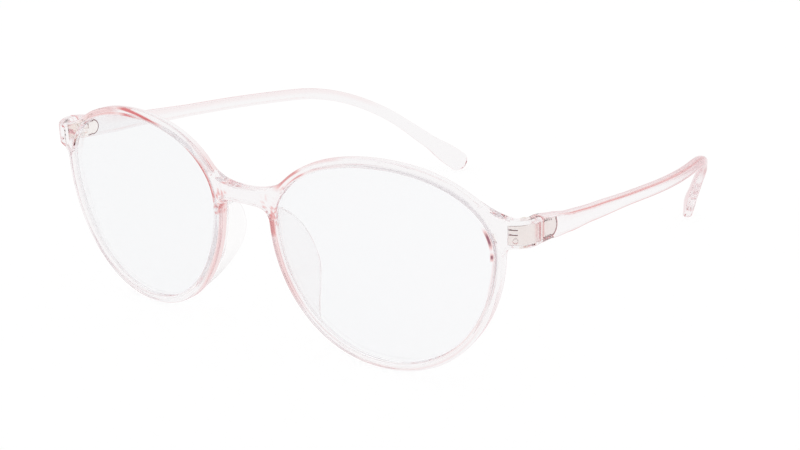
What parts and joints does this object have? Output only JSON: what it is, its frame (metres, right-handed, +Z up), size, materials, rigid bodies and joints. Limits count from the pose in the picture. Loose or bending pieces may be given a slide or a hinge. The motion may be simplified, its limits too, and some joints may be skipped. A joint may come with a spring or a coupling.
{
  "type": "glasses",
  "caption": "Round panto glasses in clear pink plastic with plano lenses, glued clear nose pads, metal barrel hinges and slim folding temples with spoon tips.",
  "frame": {"origin": "centre of the bounding box in plan, on the surface that the glasses stand on", "axes": "+X to the wearer's left, +Y from the lenses back to the temple tips, +Z up"},
  "size_m": [0.1296, 0.1422, 0.0448],
  "materials": {
    "crystal_plastic": "polished, clear pale pink",
    "lens": "polished clear lens with a faint coating",
    "pad_plastic": "polished, clear",
    "hinge_metal": "plated nickel silver",
    "screw_metal": "polished steel"
  },
  "bodies": {
    "front": {"front_frame": "crystal_plastic", "lens_left": "lens", "lens_right": "lens", "nose_pad_left": "pad_plastic", "nose_pad_right": "pad_plastic", "hinge_front_leaf_left": "hinge_metal", "hinge_front_leaf_right": "hinge_metal", "hinge_screw_left": "screw_metal", "hinge_screw_right": "screw_metal"},
    "left_temple": {"temple_left": "crystal_plastic", "hinge_temple_leaf_left": "hinge_metal"},
    "right_temple": {"temple_right": "crystal_plastic", "hinge_temple_leaf_right": "hinge_metal"}
  },
  "joints": [
    {"name": "temple_left_fold", "type": "hinge", "parent": "front", "child": "left_temple", "pos_m": [0.06045, -0.0576, 0.03416], "axis": [0, -0.0608, 0.9981], "range_deg": [0, 84]},
    {"name": "temple_right_fold", "type": "hinge", "parent": "front", "child": "right_temple", "pos_m": [-0.06045, -0.0576, 0.03416], "axis": [0, 0.0608, -0.9981], "range_deg": [0, 78]}
  ]
}
